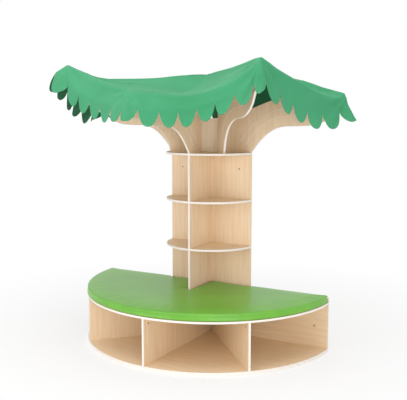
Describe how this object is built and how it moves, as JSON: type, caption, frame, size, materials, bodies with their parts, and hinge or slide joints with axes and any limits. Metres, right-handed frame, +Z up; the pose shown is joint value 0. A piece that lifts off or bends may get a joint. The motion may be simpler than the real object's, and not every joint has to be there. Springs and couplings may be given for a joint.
{
  "type": "tree shaped bookshelf",
  "caption": "Tree-shaped children's bookshelf: half-round bench with open bays and a cushion, a shelved trunk, curved branches and a scalloped cloth crown.",
  "frame": {"origin": "on the floor, at the middle of the bench's straight back", "axes": "+Z up, the front faces -Y, the straight back lies along X, and +X is the viewer's right from the front"},
  "size_m": [1.8822, 0.9752, 1.719],
  "materials": {
    "board_wood": "satin maple-look board",
    "edge_banding": "off-white edge banding",
    "cushion_vinyl": "light green smooth vinyl",
    "canopy_cloth": "woven green cloth",
    "cam_metal": "zinc plated",
    "dowel_wood": "plain beech",
    "hook_pad": "black hook fastener pad"
  },
  "bodies": {
    "root": {"bench_bottom_board": "board_wood", "bench_bottom_edge_band": "edge_banding", "bench_top_board": "board_wood", "bench_top_edge_band": "edge_banding", "bench_back_panel": "board_wood", "bench_back_cam_left": "cam_metal", "bench_back_cam_right": "cam_metal", "bench_back_end_band_left": "edge_banding", "bench_back_end_band_right": "edge_banding", "divider_left": "board_wood", "divider_middle": "board_wood", "divider_right": "board_wood", "divider_cam_left": "cam_metal", "divider_cam_middle": "cam_metal", "divider_cam_right": "cam_metal", "divider_edge_band_left": "edge_banding", "divider_edge_band_middle": "edge_banding", "divider_edge_band_right": "edge_banding", "seat_cushion": "cushion_vinyl", "trunk_back_panel": "board_wood", "trunk_back_cam_left": "cam_metal", "trunk_back_cam_right": "cam_metal", "trunk_fin": "board_wood", "trunk_fin_edge_band": "edge_banding", "shelf_lower_left": "board_wood", "shelf_lower_right": "board_wood", "shelf_upper_left": "board_wood", "shelf_upper_right": "board_wood", "shelf_edge_band_lower_left": "edge_banding", "shelf_edge_band_lower_right": "edge_banding", "shelf_edge_band_upper_left": "edge_banding", "shelf_edge_band_upper_right": "edge_banding", "crown_shelf": "board_wood", "crown_shelf_edge_band": "edge_banding", "crown_dowel_rear_left": "dowel_wood", "crown_dowel_rear_right": "dowel_wood", "crown_dowel_left": "dowel_wood", "crown_dowel_middle": "dowel_wood", "crown_dowel_right": "dowel_wood", "branch_left": "board_wood", "branch_middle": "board_wood", "branch_right": "board_wood", "branch_edge_band_left": "edge_banding", "branch_edge_band_middle": "edge_banding", "branch_edge_band_right": "edge_banding", "crown_rear_panel": "board_wood", "rear_arm_edge_band_left": "edge_banding", "rear_arm_edge_band_right": "edge_banding", "hook_pad_left": "hook_pad", "hook_pad_middle": "hook_pad", "hook_pad_right": "hook_pad", "hook_pad_rear_left": "hook_pad", "hook_pad_rear_right": "hook_pad", "canopy_cloth": "canopy_cloth"}
  },
  "joints": []
}
